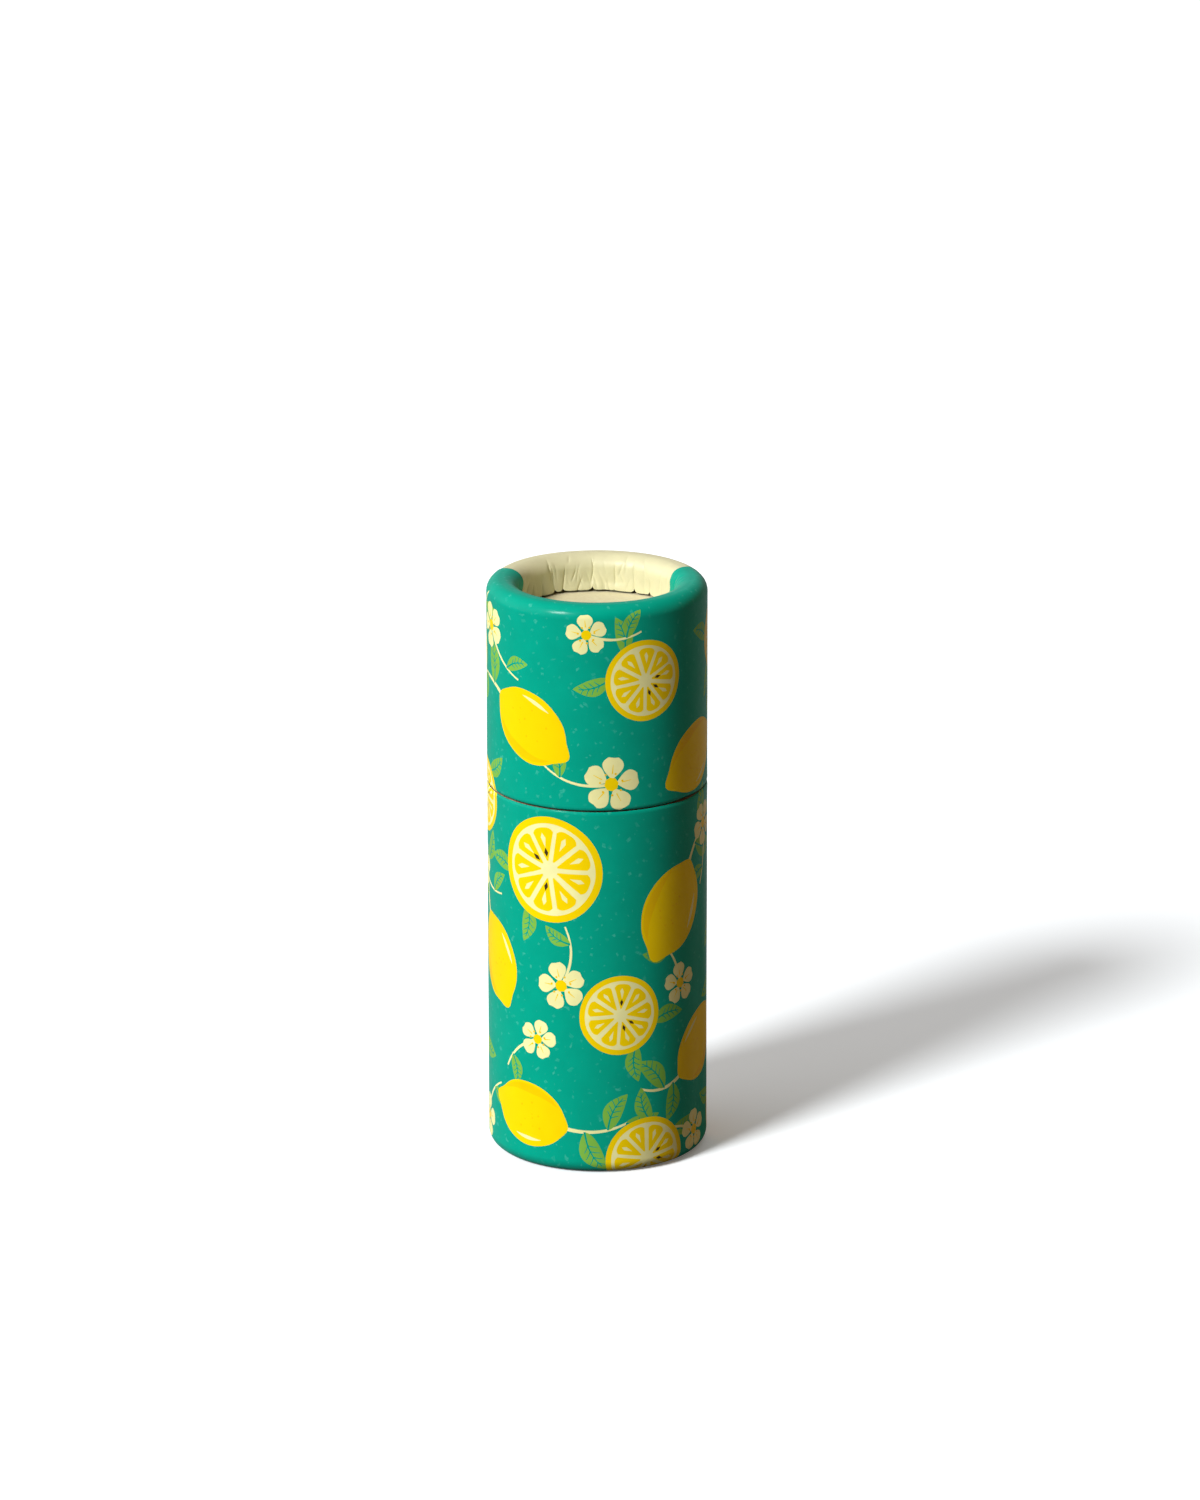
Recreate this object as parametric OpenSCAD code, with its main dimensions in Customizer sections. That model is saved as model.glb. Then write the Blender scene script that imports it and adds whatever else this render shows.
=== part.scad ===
// Push-up lip balm tube of wound board, closed and standing on its base.
// Millimetres, +Z up. The origin is the centre of the circle that the base stands on.
// The cap slides up off the neck, and the pusher slides up the neck with the balm on it.

/* [Tube] */
// Outside diameter, over the printed paper
tube_d = 25; // [20:0.5:40]
// Height of the closed tube
total_h = 67; // [52:0.5:120]
// Height of the cap, from the joint to its crown
cap_h = 23.8; // [16:0.1:34]
// Hairline left between the cap and the base
joint_gap = 0.1; // [0:0.05:0.5]

/* [Board and paper] */
// Thickness of the wound board of the cap and the base
board_t = 1.1; // [0.6:0.05:1.5]
// Thickness of the printed paper glued round the board
paper_t = 0.15; // [0.08:0.01:0.3]

/* [Rolled rims] */
// Radius left inside the board where it is bent over
rim_core_r = 0.3; // [0.1:0.05:0.6]
// Width of the flat pressed on the crown of each rim
rim_flat = 0.4; // [0.2:0.05:1.2]
// Depth of the recess in each rim, from its crown to the disc
rim_depth = 4.3; // [3:0.1:8]

/* [Cap disc] */
// Thickness of the board disc that closes the cap
cap_disc_t = 1.2; // [0.6:0.1:2.5]
// Radial clearance of that disc in the bore of the cap
cap_disc_fit = 0.05; // [0.02:0.01:0.2]

/* [Neck] */
// Wall of the inner tube that the cap slides on
neck_t = 1.2; // [0.8:0.05:1.6]
// Radial clearance of the neck in the bores of the cap and the base
neck_fit = 0.06; // [0.02:0.01:0.15]
// Space between the mouth of the neck and the cap disc
neck_headroom = 0.6; // [0.2:0.1:3]
// Chamfer round the outside of the neck's mouth
neck_lead = 0.3; // [0.1:0.05:0.6]
// Thickness of the greaseproof lining of the neck
lining_t = 0.1; // [0.05:0.01:0.2]

/* [Pusher] */
// Radial clearance of the pusher in the lined neck
pusher_fit = 0.08; // [0.04:0.01:0.2]
// Thickness of the board disc that the thumb pushes
pusher_disc_t = 1.2; // [0.6:0.1:2.5]
// Wall of the ring that stands on the disc and keeps it square
pusher_ring_t = 0.8; // [0.5:0.05:1.2]
// Height of that ring
pusher_ring_h = 6; // [3:0.5:12]
// Thickness of the waxed paper under the balm
pusher_lining_t = 0.15; // [0.05:0.01:0.3]

/* [Balm] */
// Radial clearance of the balm in the lined neck
balm_fit = 0.05; // [0.02:0.01:0.15]
// Distance of the balm's top below the mouth of the neck
balm_drop = 3; // [1:0.5:10]

/* [Hidden] */
$fn = 128;

// Heights
joint_z = total_h - cap_h;
cap_foot_z = joint_z + joint_gap / 2;
base_top_z = joint_z - joint_gap / 2;
cap_disc_top_z = total_h - rim_depth;
neck_top_z = cap_disc_top_z - cap_disc_t - neck_headroom;
pusher_top_z = rim_depth + pusher_disc_t;
balm_top_z = neck_top_z - balm_drop;

// Radii
outer_r = tube_d / 2;
board_r = outer_r - paper_t;
bore_r = board_r - board_t;
neck_r = bore_r - neck_fit;
neck_bore_r = neck_r - neck_t;
lined_r = neck_bore_r - lining_t;
pusher_r = lined_r - pusher_fit;
ring_bore_r = pusher_r - pusher_ring_t;
balm_r = lined_r - balm_fit;

// Outside bend radii of a rim, over the board and over the paper
board_bend_r = rim_core_r + board_t;
paper_bend_r = board_bend_r + paper_t;

// A quarter of a flat ring, lying right of and above its centre
module quarter_ring(r, t) {
    intersection() {
        difference() {
            circle(r);
            circle(r - t);
        }
        square(r);
    }
}

// Section of one layer of a tube, right of the axis, with its upper end bent inward and down again.
// The layer has its outer face at r and is t thick, bent at radius bend, from foot_z up to crown_z,
// and its inner leg ends at leg_z.
module rolled_section(r, t, bend, foot_z, crown_z, leg_z) {
    shoulder_z = crown_z - bend;
    inner_r = r - 2 * bend - rim_flat;
    translate([r - t, foot_z]) square([t, shoulder_z - foot_z]);
    translate([r - bend, shoulder_z]) quarter_ring(bend, t);
    translate([r - bend - rim_flat, crown_z - t]) square([rim_flat, t]);
    translate([r - bend - rim_flat, shoulder_z]) mirror([1, 0]) quarter_ring(bend, t);
    translate([inner_r, leg_z]) square([t, shoulder_z - leg_z]);
}

// A plain round tube
module tube(r, bore, h) {
    difference() {
        cylinder(r = r, h = h);
        translate([0, 0, -1]) cylinder(r = bore, h = h + 2);
    }
}

// Cap: wound board with its top edge rolled in over the disc
module cap_tube() {
    color([0.72, 0.62, 0.47])
        rotate_extrude()
            rolled_section(board_r, board_t, board_bend_r, cap_foot_z, total_h - paper_t, cap_disc_top_z);
}

// Printed paper round the cap, turned over the rim and down to the disc
module cap_wrap() {
    color([0.0, 0.68, 0.57])
        rotate_extrude()
            rolled_section(outer_r, paper_t, paper_bend_r, cap_foot_z, total_h, cap_disc_top_z);
}

// Faced board disc, held under the rolled edge
module cap_disc() {
    color([0.93, 0.9, 0.68])
        translate([0, 0, cap_disc_top_z - cap_disc_t])
            cylinder(r = bore_r - cap_disc_fit, h = cap_disc_t);
}

// Base: wound board with its bottom edge rolled in under the pusher
module base_tube() {
    color([0.72, 0.62, 0.47])
        mirror([0, 0, 1])
            rotate_extrude()
                rolled_section(board_r, board_t, board_bend_r, -base_top_z, -paper_t, -rim_depth);
}

// Printed paper round the base, turned over the foot and up to the pusher
module base_wrap() {
    color([0.0, 0.68, 0.57])
        mirror([0, 0, 1])
            rotate_extrude()
                rolled_section(outer_r, paper_t, paper_bend_r, -base_top_z, 0, -rim_depth);
}

// Inner tube, glued in the base and standing out of it as the neck for the cap
module neck_tube() {
    color([0.9, 0.87, 0.8])
        translate([0, 0, rim_depth])
            difference() {
                union() {
                    cylinder(r = neck_r, h = neck_top_z - neck_lead - rim_depth);
                    translate([0, 0, neck_top_z - neck_lead - rim_depth])
                        cylinder(r1 = neck_r, r2 = neck_r - neck_lead, h = neck_lead);
                }
                translate([0, 0, -1]) cylinder(r = neck_bore_r, h = neck_top_z - rim_depth + 2);
            }
}

// Greaseproof lining inside the neck
module neck_lining() {
    color([0.96, 0.94, 0.87])
        translate([0, 0, rim_depth])
            tube(neck_bore_r, lined_r, neck_top_z - rim_depth);
}

// Board disc that the thumb pushes; it rests on the rolled edge of the base
module pusher_disc() {
    color([0.93, 0.9, 0.68])
        translate([0, 0, rim_depth])
            cylinder(r = pusher_r, h = pusher_disc_t);
}

// Short board ring on the disc; it keeps the disc square and grips the foot of the balm
module pusher_ring() {
    color([0.9, 0.87, 0.8])
        translate([0, 0, pusher_top_z])
            tube(pusher_r, ring_bore_r, pusher_ring_h);
}

// Waxed paper between the disc and the balm
module pusher_lining() {
    color([0.96, 0.94, 0.87])
        translate([0, 0, pusher_top_z])
            cylinder(r = ring_bore_r, h = pusher_lining_t);
}

// Poured balm: a foot inside the ring, and the stick above it
module balm() {
    foot_z = pusher_top_z + pusher_lining_t;
    stick_z = pusher_top_z + pusher_ring_h;
    color([0.97, 0.93, 0.76]) {
        translate([0, 0, foot_z]) cylinder(r = ring_bore_r, h = stick_z - foot_z);
        translate([0, 0, stick_z]) cylinder(r = balm_r, h = balm_top_z - stick_z);
    }
}

cap_tube();
cap_wrap();
cap_disc();
base_tube();
base_wrap();
neck_tube();
neck_lining();
pusher_disc();
pusher_ring();
pusher_lining();
balm();
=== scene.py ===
# %% [markdown]
# # A push-up lip balm in a paper tube
#
# This lesson gives a small round paper tube its looks: two printed paper skins with rolled rims, the wound
# board under them, the neck that the cap slides on, and the stick of balm inside. The shapes and sizes come
# from a CAD model, which is loaded first as a fixed frame, so nothing here is placed by eye. Every length in
# the lesson is in millimetres, and it is turned into Blender's metres only when a mesh is made.

import math
import random
from collections import namedtuple

import bpy
import numpy as np
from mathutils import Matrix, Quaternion, Vector
from mathutils.geometry import delaunay_2d_cdt
from mathutils.kdtree import KDTree


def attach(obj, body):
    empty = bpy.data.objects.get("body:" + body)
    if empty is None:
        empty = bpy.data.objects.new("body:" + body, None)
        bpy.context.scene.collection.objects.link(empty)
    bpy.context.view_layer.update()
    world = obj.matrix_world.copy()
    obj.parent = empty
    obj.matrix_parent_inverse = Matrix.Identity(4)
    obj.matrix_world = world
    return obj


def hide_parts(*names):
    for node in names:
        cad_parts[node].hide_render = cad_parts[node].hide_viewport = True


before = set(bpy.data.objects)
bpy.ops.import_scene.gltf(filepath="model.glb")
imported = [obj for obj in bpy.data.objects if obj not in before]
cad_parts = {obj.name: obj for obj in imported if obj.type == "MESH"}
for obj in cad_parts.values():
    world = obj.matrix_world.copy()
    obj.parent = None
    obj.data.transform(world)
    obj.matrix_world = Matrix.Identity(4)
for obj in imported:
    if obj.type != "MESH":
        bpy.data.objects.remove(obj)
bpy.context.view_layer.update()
MM = 0.001

# %% [markdown]
# ## Reading the sizes
#
# The tube is made of layers that are only tenths of a millimetre thick, so a wrong size would show as a gap
# or as two surfaces that flicker through each other. The safest source is the CAD model itself: its vertices
# lie exactly on the real faces, so the largest and smallest radius of a piece, in a band of heights, are its
# outside and its bore.

# %% Spans of a CAD piece
NEAR = 0.01


def ring_sizes(node):
    """Radius and height of every vertex of a CAD piece, in millimetres."""
    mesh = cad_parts[node].data
    places = np.empty(len(mesh.vertices) * 3, np.float32)
    mesh.vertices.foreach_get("co", places)
    places = places.reshape(-1, 3) / MM
    return np.hypot(places[:, 0], places[:, 1]), places[:, 2]


def height_span(node):
    """Lowest and highest point of a piece."""
    heights = ring_sizes(node)[1]
    return round(float(heights.min()), 4), round(float(heights.max()), 4)


def radius_span(node, height=None):
    """Smallest and largest radius of a piece, all over or at one height."""
    radii, heights = ring_sizes(node)
    if height is not None:
        radii = radii[abs(heights - height) < NEAR]
    return round(float(radii.min()), 4), round(float(radii.max()), 4)


# %% Sizes of the tube
CAP_FOOT, TOTAL_H = height_span("cap_wrap")
BASE_TOP = height_span("base_wrap")[1]
RIM_BORE, OUTER_R = radius_span("cap_wrap")
BORE_R, BOARD_R = radius_span("cap_tube", CAP_FOOT)
wall_r, wall_z = ring_sizes("cap_wrap")
PAPER_BEND = round(TOTAL_H - float(wall_z[wall_r > OUTER_R - NEAR / 10].max()), 3)
PAPER_T = round(OUTER_R - BOARD_R, 4)
BOARD_T = round(BOARD_R - BORE_R, 4)
print("outside radius", OUTER_R, "height", TOTAL_H, "joint", BASE_TOP, CAP_FOOT)
print("paper", PAPER_T, "board", BOARD_T, "bend over the paper", PAPER_BEND)

# %% Sizes of the discs, the neck and the stick
CAP_DISC_FOOT, CAP_DISC_TOP = height_span("cap_disc")
PUSHER_FOOT, PUSHER_TOP = height_span("pusher_disc")
RING_FOOT, RING_TOP = height_span("pusher_ring")
NECK_FOOT, NECK_TOP = height_span("neck_tube")
BALM_FOOT, BALM_TOP = height_span("balm")
CAP_DISC_R = radius_span("cap_disc")[1]
PUSHER_R = radius_span("pusher_disc")[1]
RING_BORE = radius_span("pusher_ring")[0]
NECK_BORE, NECK_R = radius_span("neck_tube", NECK_FOOT)
NECK_LEAD = round(NECK_R - radius_span("neck_tube", NECK_TOP)[1], 4)
LINED_R = radius_span("neck_lining")[0]
BALM_R = radius_span("balm")[1]
print("cap disc", CAP_DISC_R, CAP_DISC_FOOT, CAP_DISC_TOP, "neck", NECK_BORE, NECK_R, NECK_TOP)
print("pusher", PUSHER_R, PUSHER_FOOT, PUSHER_TOP, "balm", BALM_R, BALM_FOOT, BALM_TOP)

# %% [markdown]
# ## Outlines with rounded corners
#
# Every piece of this tube is round, so each one starts as an outline that is turned about the axis. Real
# edges are never sharp: cut board has a small radius, and the rims are bent in large ones. An outline is
# therefore a list of corners with a rounding each. Along with its points it keeps the direction that the
# surface faces, because a mesh that is told its exact normals shades smoothly with few faces.

# %% An outline from corners
Outline = namedtuple("Outline", "s r h nr nh rows corners")
ROW_TURN = math.radians(11)
FINE_STEPS = 4


def right_of(direction):
    """The unit vector on the right hand of a direction, which faces out of the solid."""
    return np.array([direction[1], -direction[0]])


def directions_at(corners, i, closed):
    """Unit directions in which an outline reaches and leaves corner i."""
    here = np.array(corners[i][:2], float)
    before = here - np.array(corners[i - 1][:2], float)
    after = np.array(corners[(i + 1) % len(corners)][:2], float) - here
    if not closed and i == 0:
        before = after
    if not closed and i == len(corners) - 1:
        after = before
    return before / np.linalg.norm(before), after / np.linalg.norm(after)


def corner_points(corners, i, closed):
    """Points and outward normals round corner i, and how many of them make one row of a mesh."""
    way_in, way_out = directions_at(corners, i, closed)
    here, rounding = np.array(corners[i][:2], float), corners[i][2]
    turn = math.atan2(way_in[0] * way_out[1] - way_in[1] * way_out[0], float(way_in @ way_out))
    if abs(turn) < 1e-6:
        return [here], [right_of(way_in)], 1
    side = math.copysign(1.0, turn)
    centre = here - way_in * rounding * math.tan(abs(turn) / 2) - side * rounding * right_of(way_in)
    count = FINE_STEPS * max(3, math.ceil(abs(turn) / ROW_TURN * min(1.0, rounding / 0.5)))
    points, normals = [], []
    for step in range(count + 1):
        angle = turn * step / count
        cos, sin = math.cos(angle), math.sin(angle)
        way = np.array([way_in[0] * cos - way_in[1] * sin, way_in[0] * sin + way_in[1] * cos])
        points.append(centre + side * rounding * right_of(way))
        normals.append(right_of(way))
    return points, normals, FINE_STEPS


def outline_of(corners, closed=True):
    """Follows (radius, height, rounding) corners, with the solid on the left hand."""
    points, normals, rows, ends = [], [], [], []
    for i in range(len(corners)):
        some, facing, step = corner_points(corners, i, closed)
        rows += [len(points) + k for k in range(0, len(some), step)]
        ends.append((len(points), len(points) + len(some) - 1))
        points += some
        normals += facing
    if closed:
        rows.append(len(points))
        points.append(points[0])
        normals.append(normals[0])
    points, normals = np.array(points), np.array(normals)
    s = np.concatenate([[0.0], np.cumsum(np.linalg.norm(np.diff(points, axis=0), axis=1))])
    spans = [(float(s[a]), float(s[b])) for a, b in ends]
    return Outline(s, points[:, 0], points[:, 1], normals[:, 0], normals[:, 1], s[rows], spans)


def rows_between(outline, low, high, spacing):
    """Places along an outline for rows of vertices: its own rows, and more on the long straight parts."""
    marks = [low, *[x for x in outline.rows if low + 1e-4 < x < high - 1e-4], high]
    rows = [low]
    for a, b in zip(marks, marks[1:]):
        parts = max(1, math.ceil((b - a) / spacing - 1e-6))
        rows += [a + (b - a) * k / parts for k in range(1, parts + 1)]
    return np.unique(np.round(np.array(rows), 3))


test_outline = outline_of([(1, 0, 0.2), (2, 0, 0.2), (2, 3, 0.2), (1, 3, 0.2)])
print("a 1 by 3 mm bar with 0.2 mm corners is", round(float(test_outline.s[-1]), 3), "mm round")

# %% [markdown]
# ## Surfaces on an outline
#
# A point of a turned surface needs two numbers, as on a paper that is still flat: u runs round the tube,
# measured in millimetres at its widest radius, and s runs along the outline. Small creases and waves are
# then a third number, how far the surface stands proud of the plain form. The slope of that number tilts the
# normals, so that even a crease of a twentieth of a millimetre catches the light.

# %% Points and normals in space
PROBE = 0.01


def slope(field, u, s, along_u):
    """How fast a field of heights changes along u or along s."""
    du, ds = (PROBE, 0.0) if along_u else (0.0, PROBE)
    return (field(u + du, s + ds) - field(u - du, s - ds)) / (2 * PROBE)


def turned_places(outline, u, s, reach, level=0.0, upward=1, start=0.0, proud=None, rise=None):
    """Places and normals of points (u, s). The outline's heights count up from level, or down with upward -1.
    proud moves a point out of the surface, and rise moves it along the axis."""
    r, h, nr, nh = (np.interp(s, outline.s, row) for row in (outline.r, outline.h, outline.nr, outline.nh))
    length = np.hypot(nr, nh)
    nr, nh = nr / length, nh / length
    angle = start + u / reach
    normal_r, normal_h, normal_u = nr, nh, np.zeros_like(r)
    if proud is not None:
        height = proud(u, s)
        climb, lean = slope(proud, u, s, False), slope(proud, u, s, True)
        lean = lean * reach / np.maximum(r, 0.3)
        normal_r, normal_h, normal_u = nr + climb * nh, nh - climb * nr, -lean
        r, h = r + height * nr, h + height * nh
    if rise is not None:
        h = h + rise(u, s)
    cos, sin = np.cos(angle), np.sin(angle)
    places = np.stack([r * cos, r * sin, level + upward * h], -1)
    normal_x, normal_y = normal_r * cos - normal_u * sin, normal_r * sin + normal_u * cos
    normals = np.stack([normal_x, normal_y, upward * normal_h], -1)
    return places * MM, normals / np.linalg.norm(normals, axis=1, keepdims=True)


# %% [markdown]
# ## From points to a Blender piece
#
# Blender's own primitives would leave the seams, the materials per face and the normals to chance, so the
# meshes are written directly: a list of places, a list of faces, one material number per face, and the flat
# coordinates of the paper as a UV map named sheet. The finishes use that map to print in real millimetres.

# %% A mesh object with its own normals
def new_piece(name, places, normals, faces, finishes, finish_numbers, maps):
    """Makes a mesh object. maps gives, by name, one (x, y) per vertex for each UV map."""
    mesh = bpy.data.meshes.new(name)
    mesh.from_pydata(places.tolist(), [], faces, shade_flat=False)
    if mesh.validate(verbose=True):
        raise ValueError(f"Blender had to mend the mesh of {name}")
    for finish in finishes:
        mesh.materials.append(finish)
    mesh.polygons.foreach_set("material_index", np.asarray(finish_numbers, np.int32))
    corners = np.empty(len(mesh.loops), np.int32)
    mesh.loops.foreach_get("vertex_index", corners)
    for map_name, flat in maps.items():
        layer = mesh.uv_layers.new(name=map_name)
        layer.uv.foreach_set("vector", flat[corners].astype(np.float32).ravel())
    mesh.normals_split_custom_set_from_vertices(normals.tolist())
    piece = bpy.data.objects.new(name, mesh)
    bpy.context.scene.collection.objects.link(piece)
    triangles = sum(len(face) - 2 for face in faces)
    print(f"{name}: {len(places)} vertices, {triangles} triangles")
    return piece


def lattice(row_count, column_count, first=0):
    """Faces between rows of vertices that are numbered row by row from first."""
    faces = []
    for row in range(row_count - 1):
        here, above = first + row * column_count, first + (row + 1) * column_count
        for k in range(column_count - 1):
            faces.append((here + k, here + k + 1, above + k + 1, above + k))
    return faces


# %% [markdown]
# ## How a finish is put together
#
# A finish is a small tree of nodes that ends in Blender's Principled shader. Three helpers keep each tree
# short enough to read: one starts it, one adds a node and joins its inputs in a single call, and one blends
# two colours. Plain numbers, such as the coat of a varnish, are set on the shader's own sockets.

# %% Helpers for node trees
def start_finish(name, **shader_values):
    """A material with its Principled shader. A shader value has _ for the spaces in its socket's name."""
    material = bpy.data.materials.new(name)
    material.use_nodes = True
    shader = material.node_tree.nodes["Principled BSDF"]
    for socket, value in shader_values.items():
        shader.inputs[socket.replace("_", " ")].default_value = value
    return material, material.node_tree, shader


def add(tree, kind, inputs=None, **settings):
    """Adds one node. An input is a plain value, or the output socket of another node."""
    node = tree.nodes.new("ShaderNode" + kind)
    for setting, value in settings.items():
        setattr(node, setting, value)
    for socket, value in (inputs or {}).items():
        if isinstance(value, bpy.types.NodeSocket):
            tree.links.new(value, node.inputs[socket])
        else:
            node.inputs[socket].default_value = value
    return node


def calc(tree, operation, a, b=0.0):
    """The result of one Math node."""
    return add(tree, "Math", {0: a, 1: b}, operation=operation).outputs[0]


def spread(tree, value, low, high, to_low=0.0, to_high=1.0):
    """A value between low and high, moved to lie between two others and kept there."""
    ends = {"Value": value, "From Min": low, "From Max": high, "To Min": to_low, "To Max": to_high}
    return add(tree, "MapRange", ends).outputs[0]


def blend(tree, share, first, second, mode="MIX"):
    """A colour between two colours. Sockets 6 and 7 of a Mix node are its two colours."""
    ends = {0: share, 6: first, 7: second}
    return add(tree, "Mix", ends, data_type="RGBA", blend_type=mode).outputs[2]


def grain(tree, place, size, detail=3.0, roughness=0.55, flat=False):
    """A cloudy pattern. Size is that of its clouds in millimetres, or in the sheet's own units if flat."""
    scale = 1.0 / size if flat else 1.0 / (size * MM)
    inputs = {"Vector": place, "Scale": scale, "Detail": detail, "Roughness": roughness}
    return add(tree, "TexNoise", inputs).outputs["Fac"]


def roughen(tree, shader, height, depth, strength=1.0):
    """Lets a height pattern of 0 to 1 tilt the shading, as relief of that depth in millimetres would."""
    inputs = {"Height": height, "Distance": depth * MM, "Strength": strength}
    tree.links.new(add(tree, "Bump", inputs).outputs[0], shader.inputs["Normal"])


def object_place(tree):
    return add(tree, "TexCoord").outputs["Object"]


def sheet_place(tree):
    return add(tree, "UVMap", uv_map="sheet").outputs[0]


# %% [markdown]
# ## Printed paper
#
# The skin of the tube is thin coated paper, printed in flat inks and given a satin varnish. The background
# of the print is a blue-green with faint lighter dabs, as if a nearly dry brush had been touched to it. Two
# Voronoi patterns in the paper's own millimetres make the dabs: measured with the Chebychev distance their
# cells are square, and turning and bending the coordinates first takes away the regular look. An image
# would pixelate in a close view, while these patterns stay crisp.

# %% Dabs of a dry brush
BLUE_GREEN = (0.0, 0.33, 0.225, 1)
DAB_COLOUR = (0.10, 0.54, 0.42, 1)
DAB_CELL = 1.8
DAB_SMALL, DAB_LARGE = 0.03, 0.14
DAB_SHARE = 0.42


def brush_dabs(tree, turn, shift):
    """One layer of small square dabs, from 0 to 1, in sheet coordinates turned by some degrees."""
    sheet = sheet_place(tree)
    cloud = add(tree, "TexNoise", {"Vector": sheet, "Scale": 0.55, "Detail": 2.0}).outputs["Color"]
    bent = add(tree, "VectorMath", {0: cloud, 1: (1.6, 1.6, 0.0)}, operation="MULTIPLY").outputs[0]
    place = add(tree, "VectorMath", {0: sheet, 1: bent}, operation="ADD").outputs[0]
    layout = {"Vector": place, "Rotation": (0, 0, math.radians(turn)), "Location": (shift, -shift, 0)}
    place = add(tree, "Mapping", layout).outputs[0]
    cells = {"Vector": place, "Scale": 1.0 / DAB_CELL}
    cells = add(tree, "TexVoronoi", cells, voronoi_dimensions="2D", distance="CHEBYCHEV")
    luck = add(tree, "SeparateColor", {"Color": cells.outputs["Color"]})
    size = spread(tree, luck.outputs[0], 0.0, 1.0, DAB_SMALL, DAB_LARGE)
    edge = calc(tree, "SUBTRACT", size, cells.outputs["Distance"])
    body = spread(tree, edge, 0.0, 0.05)
    bristles = spread(tree, grain(tree, place, 0.22, flat=True), 0.34, 0.62, 0.25, 1.0)
    weight = spread(tree, luck.outputs[1], 0.0, 1.0, 0.2, 1.0)
    return calc(tree, "MULTIPLY", calc(tree, "MULTIPLY", body, bristles), weight)


# %% One ink of the print
def ink_finish(name, colour, with_dabs=False, uneven=0.07):
    """Printed and varnished paper in one flat ink."""
    material, tree, shader = start_finish(
        name, Coat_Weight=0.15, Coat_Roughness=0.17, Specular_IOR_Level=0.02
    )
    place = object_place(tree)
    tone = spread(tree, grain(tree, place, 2.4, detail=4), 0.3, 0.7, 1 - uneven, 1 + uneven / 2)
    ink = blend(tree, 1.0, colour, tone, mode="MULTIPLY")
    if with_dabs:
        dabs = calc(tree, "MAXIMUM", brush_dabs(tree, 24, 0.0), brush_dabs(tree, -31, 40.0))
        ink = blend(tree, calc(tree, "MULTIPLY", dabs, DAB_SHARE), ink, DAB_COLOUR)
    tree.links.new(ink, shader.inputs["Base Color"])
    tree.links.new(spread(tree, grain(tree, place, 0.6), 0.3, 0.7, 0.36, 0.46), shader.inputs["Roughness"])
    roughen(tree, shader, grain(tree, place, 0.16, detail=4), 0.006, 0.6)
    return material


INKS = {
    "print_ground": ink_finish("print_ground", BLUE_GREEN, with_dabs=True, uneven=0.05),
    "print_yellow": ink_finish("print_yellow", (0.90, 0.63, 0.0, 1), uneven=0.03),
    "print_amber": ink_finish("print_amber", (0.88, 0.55, 0.0, 1)),
    "print_cream": ink_finish("print_cream", (0.86, 0.82, 0.38, 1)),
    "print_lime": ink_finish("print_lime", (0.20, 0.46, 0.06, 1)),
    "print_seed": ink_finish("print_seed", (0.05, 0.03, 0.012, 1)),
}
print("inks:", ", ".join(INKS))

# %% [markdown]
# ## Bare paper, and its cut edge
#
# Where the sheet was not printed the cream paper shows. It has no varnish, so it is duller, and its fibres
# make faint flecks. The cut edge of the sheet shows its core, which is coloured near-black as painted shade,
# so that the joint's hairline, the seam's edge and the paper's end in the rim look dark.

# %% Cream paper, and the paper core with painted shade
def paper_finish(name, colour, fleck_colour, roughness=0.6, flecks=0.25):
    """Uncoated paper with faint fibres and flecks."""
    material, tree, shader = start_finish(name, Specular_IOR_Level=0.5)
    place = object_place(tree)
    stretched = add(tree, "Mapping", {"Vector": place, "Scale": (1.0, 1.0, 0.45)}).outputs[0]
    cloud = spread(tree, grain(tree, place, 3.0, detail=3), 0.3, 0.7, 0.94, 1.03)
    ground = blend(tree, 1.0, colour, cloud, mode="MULTIPLY")
    fleck = spread(tree, grain(tree, stretched, 0.5, detail=5, roughness=0.7), 0.58, 0.72)
    flecked = blend(tree, calc(tree, "MULTIPLY", fleck, flecks), ground, fleck_colour)
    tree.links.new(flecked, shader.inputs["Base Color"])
    rough = spread(tree, grain(tree, place, 0.7), 0.3, 0.7, roughness - 0.06, roughness + 0.06)
    tree.links.new(rough, shader.inputs["Roughness"])
    roughen(tree, shader, grain(tree, stretched, 0.2, detail=5, roughness=0.65), 0.012, 0.7)
    return material


cream_paper = paper_finish("cream_paper", (0.68, 0.64, 0.39, 1), (0.58, 0.52, 0.28, 1), 0.45)
# The core's near-black is painted shade for the cut faces, not the paper's own colour.
paper_core_painted_shade = paper_finish("paper_core_painted_shade", (0.14, 0.15, 0.11, 1), (0.08, 0.09, 0.06, 1), 0.7)
SHEET_INKS = [*INKS.values(), cream_paper, paper_core_painted_shade]
# The core number marks the faces that take the core's painted shade.
GROUND, CREAM, CORE_PAINTED_SHADE = 0, len(INKS), len(INKS) + 1
INK_NUMBER = {name: i for i, name in enumerate(INKS)}
print("finishes on the printed sheet:", len(SHEET_INKS))

# %% [markdown]
# ## Shapes for the print
#
# The print is a bright cut-paper pattern of citrus fruit: whole lemons on leafy stems, round slices and pale
# blossoms. Each shape is a closed polygon in millimetres on the unrolled tube, and each knows its ink. They
# are drawn a little unevenly, as scissors would leave them, with a seeded random draw so that every run gives
# the same print.

# %% Placing a shape
PrintShape = namedtuple("PrintShape", "ink outline")
artwork = []


def draw(ink, points, centre=(0.0, 0.0), turn=0.0):
    """Adds one polygon to the artwork, turned by some degrees and moved to its centre."""
    cos, sin = math.cos(math.radians(turn)), math.sin(math.radians(turn))
    points = np.asarray(points, float) @ np.array([[cos, sin], [-sin, cos]])
    artwork.append(PrintShape(ink, points + np.asarray(centre, float)))


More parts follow.
